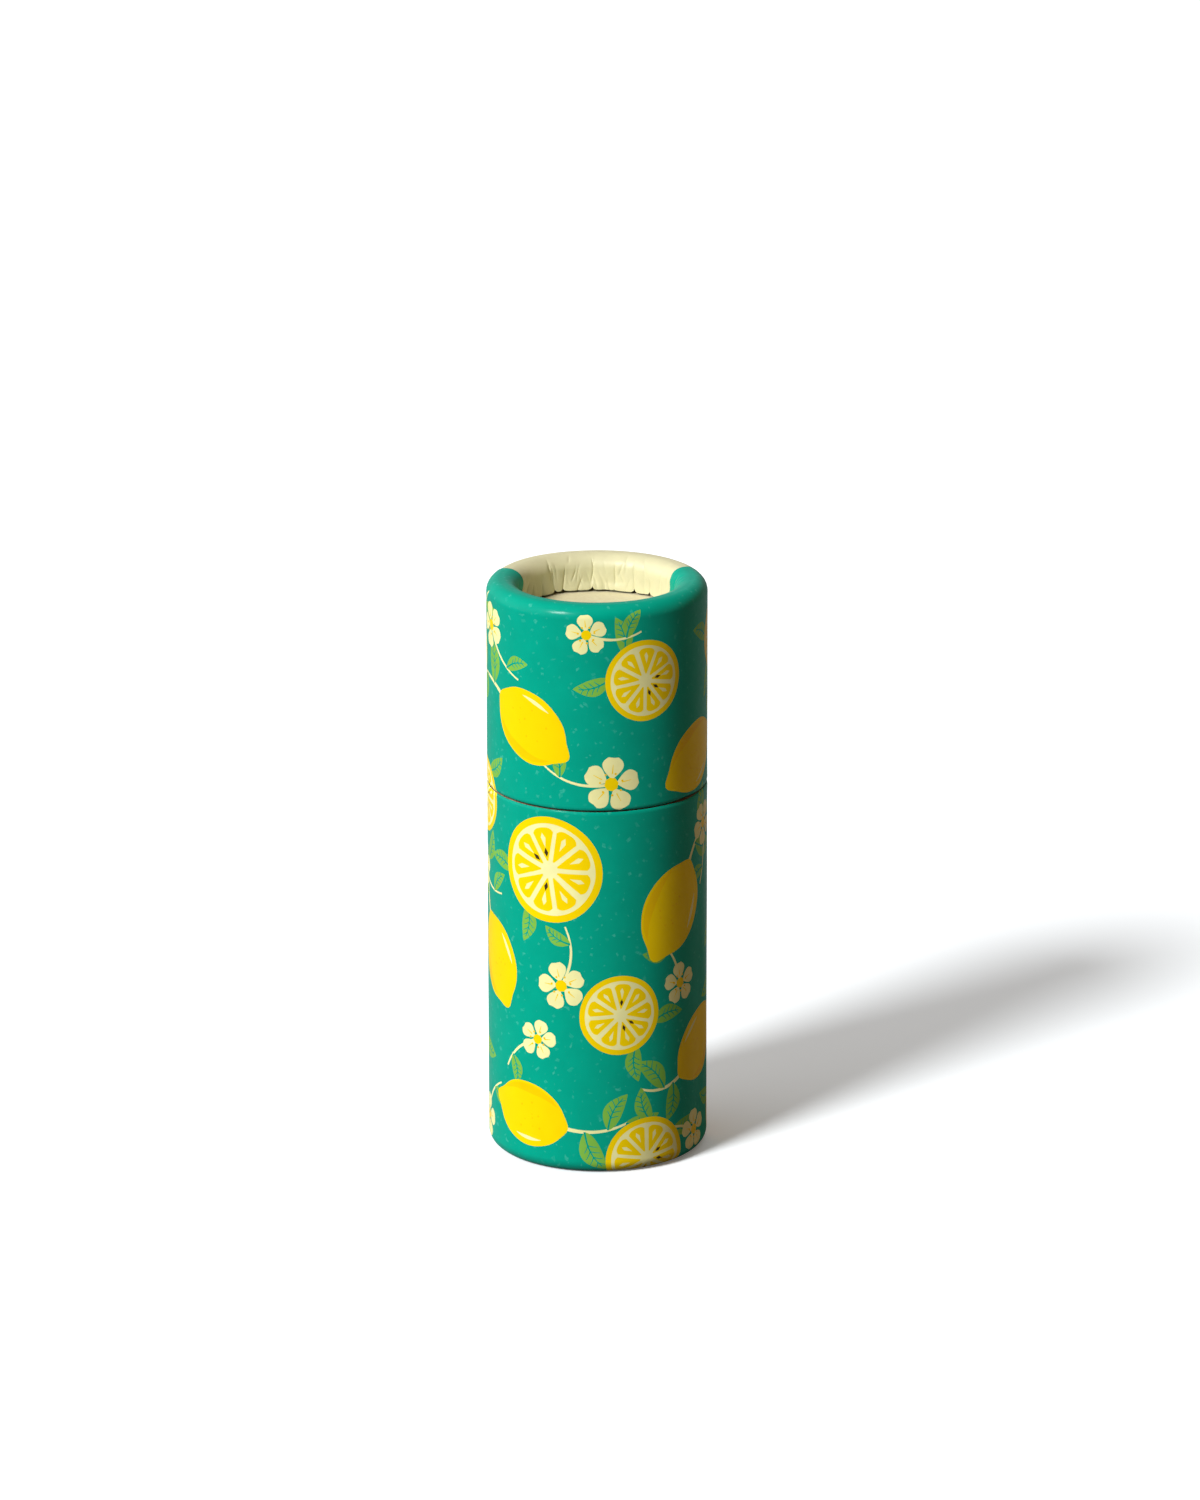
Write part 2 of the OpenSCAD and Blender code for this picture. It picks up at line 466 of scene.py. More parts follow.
def unevenness(luck, angles, size):
    """A slow random swell round a shape, in shares of its radius."""
    return sum(size / wave * np.sin(wave * angles + luck.uniform(0, math.tau)) for wave in (2, 3, 5, 7))


def polar(angles, reach):
    """Points at some reach from the origin along each angle."""
    return np.stack([reach * np.cos(angles), reach * np.sin(angles)], -1)


def point_at(centre, direction, reach):
    """The point at some reach from a centre, in a direction in degrees."""
    return np.asarray(centre, float) + reach * np.array(
        [math.cos(math.radians(direction)), math.sin(math.radians(direction))]
    )


def ribbon(points, widths):
    """A closed polygon along a line of points, as wide as widths says at each."""
    points, widths = np.asarray(points, float), np.asarray(widths, float)[:, None]
    way = np.gradient(points, axis=0)
    way /= np.linalg.norm(way, axis=1, keepdims=True)
    aside = np.stack([-way[:, 1], way[:, 0]], -1) * widths / 2
    return np.concatenate([points + aside, (points - aside)[::-1]])


def curve(start, bend, end, count=14):
    """Points on a quadratic curve from start to end, pulled towards bend."""
    t = np.linspace(0, 1, count)[:, None]
    start, bend, end = (np.asarray(p, float) for p in (start, bend, end))
    return (1 - t) ** 2 * start + 2 * t * (1 - t) * bend + t**2 * end


# %% A leaf
def leaf(base, direction, length, width, bend):
    """A lime leaf with a short stalk, a bent midrib and side veins, in which the ground shows."""
    t = np.linspace(0, 1, 15)
    half = width / 2 * np.sin(math.pi * t**0.85) ** 0.85
    middle = np.stack([length * t, bend * length * np.sin(math.pi * t)], -1)
    upper = middle + np.stack([0 * t, half], -1)
    lower = middle - np.stack([0 * t, half], -1)
    draw("print_lime", np.concatenate([upper, lower[::-1]]), base, direction)
    draw("print_ground", ribbon(middle[:-2], np.linspace(0.24, 0.11, len(t) - 2)), base, direction)
    for at in range(4, 11, 2):
        for side in (-1, 1):
            root = middle[at]
            tip = root + np.array([length * 0.13, side * half[at] * 0.72])
            bow = (root + tip) / 2 + np.array([0.0, -side * 0.08 * width])
            vein = ribbon(curve(root, bow, tip, 5), np.linspace(0.14, 0.08, 5))
            draw("print_ground", vein, base, direction)


# %% A stem with its leaves
def stem(root, direction, length, bow, leaves=(), width=0.46):
    """A pale stem that leaves its root in some direction and bends by bow degrees. Leaves sit on it:
    each is a share of its length, the angle that the leaf stands off at, and the leaf's length."""
    bend = point_at(root, direction, length * 0.55)
    end = point_at(bend, direction + bow, length * 0.5)
    line = curve(root, bend, end, 18)
    draw("print_cream", ribbon(line, np.linspace(width, width * 0.55, len(line))))
    for share, stand_off, leaf_length in leaves:
        here = line[round(share * (len(line) - 1))]
        way = direction + bow * share
        leaf(here, way + stand_off, leaf_length, leaf_length * 0.46, math.copysign(0.11, stand_off))


# %% A whole lemon
LEMON_POINTS, LEMON_PORES = 84, 9


def lemon_reach(angles, length):
    """How far a lemon's edge is from its middle: a plump oval, drawn out at the tip and less at the stem."""
    from_tip = (angles + math.pi) % math.tau - math.pi
    from_stem = angles % math.tau - math.pi
    oval = 1 / np.sqrt(np.cos(angles) ** 2 + (np.sin(angles) / 0.78) ** 2)
    tip = 0.17 * np.exp(-((from_tip / 0.2) ** 2))
    neck = 0.08 * np.exp(-((from_stem / 0.2) ** 2))
    return length / 2 * (0.88 * oval + tip + neck)


def crescent(first, last, outside, thickness, length):
    """A moon shape inside a lemon's edge, between two angles in degrees."""
    angles = np.radians(np.linspace(first, last, 24))
    depth = thickness * np.sin(np.linspace(0, math.pi, 24)) ** 0.8
    reach = lemon_reach(angles, length)
    return np.concatenate([polar(angles, reach * outside), polar(angles, reach * (outside - depth))[::-1]])


def lemon(centre, turn, length, luck):
    """A whole fruit with its tip to the right before it is turned: a shaded side, a pale gleam and pores."""
    around = np.linspace(0, math.tau, LEMON_POINTS, endpoint=False)
    swell = 1 + unevenness(luck, around, 0.018)
    draw("print_yellow", polar(around, lemon_reach(around, length) * swell), centre, turn)
    draw("print_amber", crescent(-150, -20, 0.93, 0.26, length), centre, turn)
    draw("print_cream", crescent(66, 134, 0.82, 0.11, length), centre, turn)
    hexagon = np.linspace(0, math.tau, 7)[:-1]
    for _ in range(LEMON_PORES):
        angle, share = luck.uniform(0, 360), luck.uniform(0.1, 0.55)
        reach = float(lemon_reach(np.array([math.radians(angle)]), length)[0]) * share
        draw("print_amber", polar(hexagon, luck.uniform(0.09, 0.15)), point_at(centre, angle + turn, reach))


# %% A slice of lemon
WEDGES = 9


def slice_of_lemon(centre, turn, diameter, luck):
    """A round slice: peel, pale pith, and wedges with drops of juice and a few seeds."""
    around = np.linspace(0, math.tau, 72, endpoint=False)
    radius = diameter / 2
    swell = 1 + unevenness(luck, around, 0.012)
    draw("print_yellow", polar(around, radius * swell), centre, turn)
    draw("print_cream", polar(around, radius * 0.87 * swell), centre, turn)
    with_seed = luck.sample(range(WEDGES), 3)
    for k in range(WEDGES):
        middle = math.tau * k / WEDGES + luck.uniform(-0.03, 0.03)
        half = math.pi / WEDGES * luck.uniform(0.80, 0.86)
        across = np.linspace(-1, 1, 11)
        crown = polar(middle + across * half, radius * (0.80 - 0.07 * across**4))
        foot = polar(middle + np.array([0.30, -0.30]) * half, radius * np.array([0.17, 0.17]))
        draw("print_yellow", np.concatenate([crown, foot]), centre, turn)
        drop = middle + np.array([0.0, 0.34, 0.1, -0.2]) * half
        draw("print_cream", polar(drop, radius * np.array([0.42, 0.62, 0.70, 0.60])), centre, turn)
        if k in with_seed:
            seed = middle + np.array([0.0, 0.42, 0.0, -0.42]) * half
            draw("print_seed", polar(seed, radius * np.array([0.24, 0.33, 0.42, 0.33])), centre, turn)


# %% A blossom
PETALS, STAMENS = 5, 7


def blossom(centre, turn, diameter, luck):
    """Five pale petals round a yellow heart with stamens."""
    radius = diameter / 2
    for k in range(PETALS):
        facing = turn + 360 / PETALS * k + luck.uniform(-4, 4)
        t = np.linspace(0, 1, 13)
        half = radius * 0.36 * np.sin(math.pi * t**1.35) ** 0.7
        side = np.stack([radius * (0.16 + 0.84 * t), half], -1)[:-1]
        notch = [(radius * luck.uniform(0.90, 0.94), 0.0)]
        draw("print_cream", np.concatenate([side, notch, side[::-1] * [1, -1]]), centre, facing)
        fold = [(radius * 0.36, 0), (radius * 0.5, 0), (radius * 0.68, 0)]
        draw("print_yellow", ribbon(fold, [0.14, 0.11, 0.05]), centre, facing)
    ring = np.linspace(0, math.tau, 9)[:-1]
    draw("print_yellow", polar(ring, radius * 0.24), centre, turn)
    for k in range(STAMENS):
        draw("print_amber", polar(ring, 0.13), point_at(centre, 360 * k / STAMENS + 17, radius * 0.38))


# %% [markdown]
# ## The layout of the print
#
# On a real tube the same print is wound round cap and base, and is cut between them, so shapes run across
# the joint and over the rounded rims. The layout is therefore drawn once for the whole tube: u is the
# distance round the tube from the middle of the front, and y is the height above the floor. Each lemon brings
# its own stem and leaves, which are drawn before the fruit, because later shapes cover earlier ones, as
# layers of cut paper do.

# %% Stems of the lemons
luck = random.Random(1907)
LEAF_PAIR = ((0.25, 58, 4.6), (0.5, -52, 5.2))
LEAF_LONG = ((0.3, -60, 5.4), (0.62, 50, 4.8), (0.95, -14, 4.2))
LEAF_TIP = ((0.35, 56, 4.8), (0.95, -10, 4.4))
LEMONS = [
    ((-8.4, 52.4), -32, 11.6, 7.0, 46, LEAF_LONG), ((13.6, 47.8), 206, 11.2, 6.4, 50, LEAF_PAIR),
    ((9.6, 30.6), -118, 12.4, 8.0, -42, LEAF_LONG), ((-14.4, 23.6), -64, 11.4, 7.0, -44, LEAF_TIP),
    ((14.8, 13.4), 34, 11.2, 6.0, -55, LEAF_PAIR), ((-8.6, 6.4), 168, 11.0, 7.6, 38, LEAF_LONG),
    ((22.6, 33.6), 74, 9.6, 5.0, 30, LEAF_PAIR), ((-21.4, 58.0), 250, 9.4, 5.0, -30, LEAF_PAIR),
]
for centre, turn, length, stem_length, bow, leaves in LEMONS:
    stem(point_at(centre, turn + 180, length * 0.44), turn + 180, stem_length, bow, leaves)
print("stems and leaves of the lemons:", len(artwork), "polygons")

# %% Slices and blossoms, and their leaves
SLICES = [
    ((5.6, 58.2), 8, 9.4, 150), ((-5.6, 36.0), 20, 12.4, 215), ((2.6, 19.0), 5, 9.4, -40),
    ((5.8, 1.6), 30, 9.8, 60), ((-18.6, 42.0), 14, 8.8, 80), ((20.6, 60.4), 0, 8.2, 200),
    ((-22.4, 12.4), 40, 7.6, 30), ((21.8, 4.0), 12, 7.4, 120), ((22.4, 20.6), 33, 6.6, 160),
]
for centre, turn, diameter, leaf_side in SLICES:
    for lean in (-24, 24):
        root = point_at(centre, leaf_side + lean, diameter * 0.44)
        leaf(root, leaf_side + lean * 1.9, 4.4, 2.0, math.copysign(0.1, lean))
BLOSSOMS = [
    ((1.6, 46.4), 10, 6.8, 190, 5.2, -50), ((-15.6, 62.6), 40, 5.6, -60, 5.0, 40),
    ((-4.2, 22.4), 30, 6.0, 60, 4.6, 55), ((16.0, 39.2), 50, 5.6, -80, 4.4, -40),
    ((-19.4, 33.4), 12, 5.4, -40, 4.2, 50), ((10.6, 21.6), 22, 5.2, 100, 3.8, 40),
    ((-18.0, 3.6), 8, 5.6, 70, 4.4, -45), ((13.4, 3.2), 20, 5.2, 150, 4.0, 40),
    ((-1.2, 63.8), 25, 5.0, -20, 4.0, 45), ((-7.2, 15.6), 5, 5.0, 200, 4.0, 45),
]
for centre, turn, diameter, direction, stem_length, bow in BLOSSOMS:
    stem(centre, direction, diameter / 2 + stem_length, bow, ((0.72, math.copysign(48, bow), 3.6),), 0.36)
print("all stems and leaves:", len(artwork), "polygons")

# %% The fruit and the flowers
for centre, turn, length, *stem_sizes in LEMONS:
    lemon(centre, turn, length, luck)
for centre, turn, diameter, leaf_side in SLICES:
    slice_of_lemon(centre, turn, diameter, luck)
for centre, turn, diameter, *stem_sizes in BLOSSOMS:
    blossom(centre, turn, diameter, luck)
print("whole print:", len(artwork), "polygons")

# %% [markdown]
# ## The printed sheet as a mesh
#
# To print a mesh, its faces have to follow the edges of the ink. Blender's Delaunay triangulation does that
# on the flat sheet: it takes points and fixed edges, and returns triangles that keep to both. Each triangle
# then gets the ink of the topmost shape that its middle lies in. Boolean cuts on the curved wall could do
# the same, but they are slow and fragile with hundreds of shapes, and the flat sheet needs none.

# %% Cutting a polygon at straight limits
def cut_at(points, axis, limit, keep_above):
    """The part of a closed polygon on one side of a straight limit."""
    kept = []
    for here, after in zip(points, np.roll(points, -1, axis=0)):
        inside_here = (here[axis] >= limit) == keep_above
        inside_after = (after[axis] >= limit) == keep_above
        if inside_here:
            kept.append(here)
        if inside_here != inside_after:
            share = (limit - here[axis]) / (after[axis] - here[axis])
            kept.append(here + share * (after - here))
    return np.array(kept).reshape(-1, 2)


def clipped(points, low, high):
    """A polygon cut to the rectangle between two corners."""
    for axis in (0, 1):
        for limit, keep_above in ((low[axis], True), (high[axis], False)):
            if len(points):
                points = cut_at(points, axis, limit, keep_above)
    return points if len(points) > 2 else None


def inside(polygon, points):
    """Which points lie in a closed polygon."""
    x, y = points[:, 0], points[:, 1]
    found = np.zeros(len(points), bool)
    for (x0, y0), (x1, y1) in zip(polygon, np.roll(polygon, -1, axis=0)):
        if y0 != y1:
            found ^= ((y0 > y) != (y1 > y)) & (x < (x1 - x0) * (y - y0) / (y1 - y0) + x0)
    return found


def joined(points, spacing):
    """A polygon with points added on its long edges."""
    result = []
    for here, after in zip(points, np.roll(points, -1, axis=0)):
        parts = max(1, math.ceil(float(np.linalg.norm(after - here)) / spacing))
        result += [here + (after - here) * k / parts for k in range(parts)]
    return np.array(result)


# %% Triangles that follow the inks
SLIVER, OUTLINE_STEP, FILL_STEP = 0.08, 0.6, 4


def triangulate(columns, rows, shapes, lines):
    """Triangles over a flat sheet, whose edges follow shapes and the upright lines at some u."""
    low, high = (columns[0], rows[0]), (columns[-1], rows[-1])
    points, edges = [], []

    def add_line(some, close):
        """Adds points that fixed edges join one after another, and round to the first one if close is set."""
        first = len(points)
        points.extend(map(tuple, some))
        edges.extend((k, k + 1) for k in range(first, len(points) - 1))
        if close:
            edges.append((len(points) - 1, first))

    right = [(high[0], s) for s in rows[1:-1]]
    left = [(low[0], s) for s in rows[1:-1]]
    foot, head = [(u, low[1]) for u in columns], [(u, high[1]) for u in columns]
    add_line(foot + right + head[::-1] + left[::-1], True)
    for u in lines:
        add_line([(u, s) for s in rows[1:-1]], False)
    for shape in shapes:
        add_line(joined(shape.outline, OUTLINE_STEP), True)
    tree = KDTree(len(points))
    for i, (u, s) in enumerate(points):
        tree.insert((u, s, 0.0), i)
    tree.balance()
    for s in rows[1:-1]:
        for u in columns[FILL_STEP:-1:FILL_STEP]:
            if tree.find((u, s, 0.0))[2] > SLIVER:
                points.append((u, s))
    made = delaunay_2d_cdt([Vector(p) for p in points], edges, [], 0, 1e-5, False)
    flat = np.array([tuple(p) for p in made[0]])
    faces = np.array([tuple(face) for face in made[2]])
    middles = flat[faces].mean(axis=1)
    return flat, faces, middles


def ink_of(middles, shapes):
    """The ink number at each point: that of the last shape drawn over it."""
    numbers = np.full(len(middles), GROUND)
    for shape in shapes:
        low, high = shape.outline.min(axis=0), shape.outline.max(axis=0)
        near = np.flatnonzero(((middles >= low) & (middles <= high)).all(axis=1))
        covered = near[inside(shape.outline, middles[near])]
        numbers[covered] = INK_NUMBER[shape.ink]
    return numbers


# %% [markdown]
# ## Pleats on the turned-in paper
#
# Where the paper is bent over a rim and down inside it, it has to fit a smaller circle, so it gathers into
# irregular pleats: sharp valleys, some leaning, with soft pillows between them, and finer creases among
# them. They could be sculpted or simulated. A sum of valleys with random place, depth, width and lean gives
# the same look, exactly where it is wanted, and the end of the paper can rise and fall with them.

# %% Random creases
Crease = namedtuple("Crease", "u lean bow depth sharp broad start fade notch")
STRONG_CREASES, FINE_CREASES = 34, 110
CAP_SEED, BASE_SEED = 256, 29
FULL_TURN = math.tau * OUTER_R


def strong_crease(luck, k):
    """A valley that runs down to the paper's end and widens on the way. Few of them are deep."""
    depth = 0.07 + 0.26 * luck.random() ** 1.2
    return Crease(
        u=FULL_TURN * (k + luck.uniform(-0.5, 0.5)) / STRONG_CREASES,
        lean=luck.choice([0.0, luck.uniform(-0.42, 0.42)]) + luck.uniform(-0.1, 0.1),
        bow=luck.uniform(-0.2, 0.2), depth=depth, sharp=luck.uniform(0.09, 0.17),
        broad=luck.uniform(0.7, 1.7), start=luck.uniform(0.5, 3.4), fade=luck.choice([9.0, 9.0, 5.0]),
        notch=luck.uniform(0.1, 0.45) if depth > 0.15 else 0.0,
    )


def fine_crease(luck, k):
    """A short thin line somewhere on the fold."""
    start = luck.uniform(0.3, 3.8)
    return Crease(
        u=FULL_TURN * (k + luck.uniform(-0.5, 0.5)) / FINE_CREASES, lean=luck.uniform(-0.5, 0.5),
        bow=luck.uniform(-0.15, 0.15), depth=luck.uniform(0.02, 0.11), sharp=luck.uniform(0.06, 0.12),
        broad=0.3, start=start, fade=start + luck.uniform(1.2, 3.6), notch=0.0,
    )


def draw_creases(seed):
    """All creases of one rim."""
    luck = random.Random(seed)
    strong = [strong_crease(luck, k) for k in range(STRONG_CREASES)]
    return strong + [fine_crease(luck, k) for k in range(FINE_CREASES)]


def eased(x):
    """0 below 0, 1 above 1, and a smooth rise between."""
    x = np.clip(x, 0.0, 1.0)
    return x * x * (3 - 2 * x)


# %% Depth of the creases
DEEPEST = 0.34
LEG_MIDDLE = 3.6
NOTCH_WIDTH = 0.2


def away_from(crease, u, v):
    """The distance round the rim from a crease's line, at v past the crown."""
    line = crease.u + crease.lean * (v - LEG_MIDDLE) + crease.bow * np.sin(1.7 * (v - LEG_MIDDLE))
    return (u - line + FULL_TURN / 2) % FULL_TURN - FULL_TURN / 2


def crease_depth(creases, u, v):
    """How deep the creases are at u round the rim and v past its crown."""
    total = np.zeros_like(u)
    for crease in creases:
        away = np.abs(away_from(crease, u, v))
        grown = eased((v - crease.start) / 1.6) * eased((crease.fade - v) / 0.8)
        sharp = crease.sharp * (0.6 + 0.5 * eased((v - 1.5) / 3.5))
        line = np.exp(-(np.sqrt((away / sharp) ** 2 + 0.06) - 0.245))
        total += crease.depth * grown * (0.5 * line + 0.5 * np.exp(-((away / crease.broad) ** 2)))
    return DEEPEST * np.tanh(total / DEEPEST)


def notch_depth(creases, u, v):
    """How far the paper's end is drawn up where a strong crease meets it."""
    notched = [crease for crease in creases if crease.notch]
    return sum(crease.notch * np.exp(-np.abs(away_from(crease, u, v)) / NOTCH_WIDTH) for crease in notched)


print("creases for the cap:", len(draw_creases(CAP_SEED)))

# %% [markdown]
# ## The cut at the joint
#
# Board and paper are sawn through together, and no saw leaves a perfect circle. The hairline between cap and
# base is therefore a little wider in some places: the cut stands back by a few hundredths of a millimetre
# all round, and by more in one place at the right of the front. Both skins and both boards share it, and the
# board frays back a little further than the paper, so the line looks dark. The paper's cut face there is also
# coloured near-black, which is painted shade.

# %% How far the cut stands back
CUT_BACK, BOARD_BACK, CUT_BLEND = 0.028, 0.08, 1.5
WIDE_PLACE, WIDE_SPREAD, WIDE_DEPTH = math.radians(323), math.radians(9), 0.11


def cut_back(azimuth):
    """How far the cut stands back from the joint, by the angle round the tube."""
    away = (azimuth - WIDE_PLACE + math.pi) % math.tau - math.pi
    wide = WIDE_DEPTH * np.exp(-((away / WIDE_SPREAD) ** 2))
    return wide + CUT_BACK + 0.010 * np.sin(2 * azimuth + 0.8) + 0.006 * np.sin(5 * azimuth + 2.0)


all_round = cut_back(np.radians(np.arange(360)))
print("the cut stands back by", all_round.min().round(3), "to", all_round.max().round(3), "mm")

# %% [markdown]
# ## The printed skins of cap and base
#
# Both skins are one closed outline: the cut edge at the joint, the straight wall, the bend over the rim, the
# turned-in leg, and back up behind it along the glued side. The sheet meets itself at one upright seam. Its
# printed end lies over the bare cream end, so the wall steps down there by less than the paper's thickness.
# The wall itself is wavy by a few hundredths of a millimetre, as glued paper is, which bends the highlights.
# The waves only go inward, so the tube stays as wide and as tall as the frame says.

# %% Outline of a skin
SHOULDER_IN, SHOULDER_UP = 0.12, 0.26
GLUE = 0.01
CROWN_R = (RIM_BORE + OUTER_R) / 2
SEAM_DEGREES, FRONT_DEGREES, PRINT_END_DEGREES = 160, 270, 383
SEAM_ANGLE = math.radians(SEAM_DEGREES)
FRONT_U = (math.radians(FRONT_DEGREES) - SEAM_ANGLE) * OUTER_R
PRINT_END = round(math.radians(PRINT_END_DEGREES - SEAM_DEGREES) * OUTER_R, 3)
PAPER_EDGE = 0.03


def skin_outline(length, leg_end):
    """The printed paper's outline, from the joint at height 0 to its crown at length. The saw presses the cut
    end in a little, which leaves a soft shoulder above it."""
    under = PAPER_BEND - PAPER_T
    return outline_of([
        (BOARD_R, 0.0, 0.01), (OUTER_R - SHOULDER_IN, 0.0, 0.02), (OUTER_R, SHOULDER_UP, 0.8),
        (OUTER_R, length, PAPER_BEND), (CROWN_R, length, 0.0),
        (RIM_BORE, length, PAPER_BEND), (RIM_BORE, leg_end, 0.05), (RIM_BORE + PAPER_T, leg_end, 0.03),
        (RIM_BORE + PAPER_T, length - PAPER_T, under), (BOARD_R, length - PAPER_T, under),
    ])


SkinMarks = namedtuple("SkinMarks", "lip wall crown leg leg_end back end")


def marks_on(outline):
    """The lengths along a skin's outline at which its parts begin, and its whole length."""
    corners = outline.corners
    return SkinMarks(
        lip=corners[1][0], wall=corners[2][1], crown=corners[4][0], leg=corners[5][1],
        leg_end=corners[6][0], back=corners[7][0], end=outline.s[-1],
    )


cap_outline = skin_outline(TOTAL_H - CAP_FOOT, CAP_DISC_TOP - CAP_FOOT)
base_outline = skin_outline(BASE_TOP, BASE_TOP - PUSHER_FOOT)
print("front of the print at u", round(FRONT_U, 2), "bare paper from u", PRINT_END, "to", round(FULL_TURN, 2))


# %% Heights over a skin
WAVE_TOP, WALL_WAVE, RIM_WAVE = 3.0, 0.007, 0.009
PILLOW = 0.22
SEAM_STEP, SEAM_RUN = 0.06, 5
END_GAP, END_WAVE, END_PULL = 0.17, 0.06, 0.35


def skin_fields(outline, seed):
    """Two fields over a skin: how far it stands proud, and how far its cut ends rise towards the crown."""
    creases = draw_creases(seed)
    luck = random.Random(seed + 100)
    waves = [(luck.randint(3, 14), luck.uniform(-0.5, 0.5), luck.uniform(0, math.tau)) for _ in range(9)]
    at = marks_on(outline)

    def proud(u, s):
        v = s - at.crown
        front = (s < at.back) & (s > at.lip - 1e-4)
        wave = sum(np.sin(n * u / OUTER_R + k * s + phase) / math.sqrt(n) for n, k, phase in waves)
        wave = np.minimum(wave - WAVE_TOP, 0.0)
        wall = WALL_WAVE * wave * eased((at.crown - s) / 3.0) * eased((s - at.wall) / 1.5)
        pillow = PILLOW * eased((v - 0.5) / 2.4) - crease_depth(creases, u, v)
        pleat = RIM_WAVE * wave * eased((v + 1.2) / 2.6) + pillow * eased(v / 0.8)
        pleat = pleat * eased((at.leg_end + 0.12 - s) / 0.12) * (v > -1.5)
        step = -SEAM_STEP * eased((u - (FULL_TURN - SEAM_RUN)) / SEAM_RUN)
        step = step * (u < FULL_TURN - PAPER_EDGE + 1e-6) * eased((s - at.lip) / (at.wall - at.lip))
        return np.where(front, wall + pleat + step * (v < 3.0), 0.0)

    def rise(u, s):
        v = at.leg_end - at.crown
        gap = END_GAP + END_WAVE * np.sin(3 * u / OUTER_R + seed) + notch_depth(creases, u, v)
        gap = gap + END_PULL * crease_depth(creases, u, np.full_like(u, v))
        pull = np.where(s < at.leg_end, eased((s - at.leg) / (at.leg_end - at.leg)) ** 2, 1.0)
        release = np.where(s > at.back, eased(1 - (s - at.back) / 2.0), 1.0)
        from_joint = np.minimum(np.maximum(s - at.wall, 0.0), at.end - s)
        joint = np.where(s < at.wall, 1.0, eased(1 - from_joint / CUT_BLEND))
        return gap * pull * release + cut_back(u / OUTER_R + SEAM_ANGLE) * joint

    return proud, rise


# %% One skin
SKIN_COLUMNS = 960
columns = np.round(np.linspace(0, FULL_TURN, SKIN_COLUMNS + 1), 3)
columns[np.argmin(abs(columns - PRINT_END))] = PRINT_END
columns = np.insert(columns, -1, round(FULL_TURN - PAPER_EDGE, 3))


def joint_on(outline):
    """Where the joint's height would be on the flat sheet, if the wall went straight down to it."""
    wall = marks_on(outline).wall
    return wall - float(np.interp(wall, outline.s, outline.h))


def sheet_shapes(outline, upward, level):
    """The artwork cut to one skin, in its own (u, s)."""
    wall_start = joint_on(outline)
    low = (0.05, marks_on(outline).lip + 0.02)
    high = (PRINT_END, marks_on(outline).crown - 0.05)
    cut = []
    for shape in artwork:
        u = shape.outline[:, 0] + FRONT_U
        s = wall_start + (shape.outline[:, 1] - level) * upward
        points = clipped(np.stack([u, s], -1), low, high)
        if points is not None:
            cut.append(PrintShape(shape.ink, points))
    return cut


def make_skin(name, outline, level, upward, seed):
    """The printed paper of the cap, with upward 1, or of the base, with upward -1."""
    at = marks_on(outline)
    shapes = sheet_shapes(outline, upward, level)
    print_rows = rows_between(outline, round(at.lip, 3), round(at.crown, 3), 1.2)
    flat, faces, middles = triangulate(columns, print_rows, shapes, [PRINT_END])
    numbers = ink_of(middles, shapes)
    numbers[middles[:, 0] > PRINT_END] = CREAM
    fold_rows = rows_between(outline, round(at.crown, 3), round(at.leg_end, 3), 0.17)
    back_rows = rows_between(outline, round(at.leg_end, 3), round(at.end, 3), 50.0)
    lip_rows = rows_between(outline, 0.0, round(at.lip, 3), 1.0)
    parts, quads = [flat], [tuple(face) for face in faces.tolist()]
    finish_numbers = [numbers]
    count = len(flat)
    for rows in (fold_rows, back_rows, lip_rows):
        grid = np.stack(np.meshgrid(columns, rows), -1).reshape(-1, 2)
        added = lattice(len(rows), len(columns), count)
        # The cut lip, the paper's end and its back rows take the core's painted shade; the fold takes ground
        # or cream.
        middle_u = (columns[:-1] + columns[1:]) / 2
        ink = np.full(len(middle_u), CORE_PAINTED_SHADE)
        if rows is fold_rows:
            ink = np.where(middle_u < PRINT_END, GROUND, CREAM)
        parts.append(grid)
        quads += added
        finish_numbers.append(np.tile(ink, len(rows) - 1))
        count += len(grid)
    flat = np.concatenate(parts)
    numbers = np.concatenate(finish_numbers)
    flat, twin = np.unique(np.round(flat, 3), axis=0, return_inverse=True)
    twin = twin.ravel()
    faces = [tuple(int(twin[k]) for k in face) for face in quads]
    whole = [len(set(face)) == len(face) for face in faces]
    print(name, "faces dropped because their corners met:", whole.count(False))
    faces = [face for face, kept in zip(faces, whole) if kept]
    numbers = numbers[whole]
    middle_u = np.array([flat[list(face), 0].mean() for face in faces])
    # The printed end's cut edge at the seam also takes the core's painted shade.
    numbers[middle_u > FULL_TURN - PAPER_EDGE] = CORE_PAINTED_SHADE
    if upward < 0:
        faces = [face[::-1] for face in faces]
    u, s = flat[:, 0], flat[:, 1]
    proud, rise = skin_fields(outline, seed)
    places, normals = turned_places(outline, u, s, OUTER_R, level, upward, SEAM_ANGLE, proud, rise)
    y = level + (s - joint_on(outline)) * upward
    share = np.interp(s, [0, at.lip, at.crown, at.leg_end, at.end], [0.0, 0.01, 0.72, 0.93, 1.0])
    maps = {"OFBake": np.stack([u / FULL_TURN, share], -1), "sheet": np.stack([u - FRONT_U, y], -1)}
    return new_piece(name, places, normals, faces, SHEET_INKS, numbers, maps)


cap_skin = make_skin("cap_printed_paper", cap_outline, CAP_FOOT, 1, CAP_SEED)
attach(cap_skin, "cap")
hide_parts("cap_wrap")

base_skin = make_skin("base_printed_paper", base_outline, BASE_TOP, -1, BASE_SEED)
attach(base_skin, "base")
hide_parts("base_wrap")

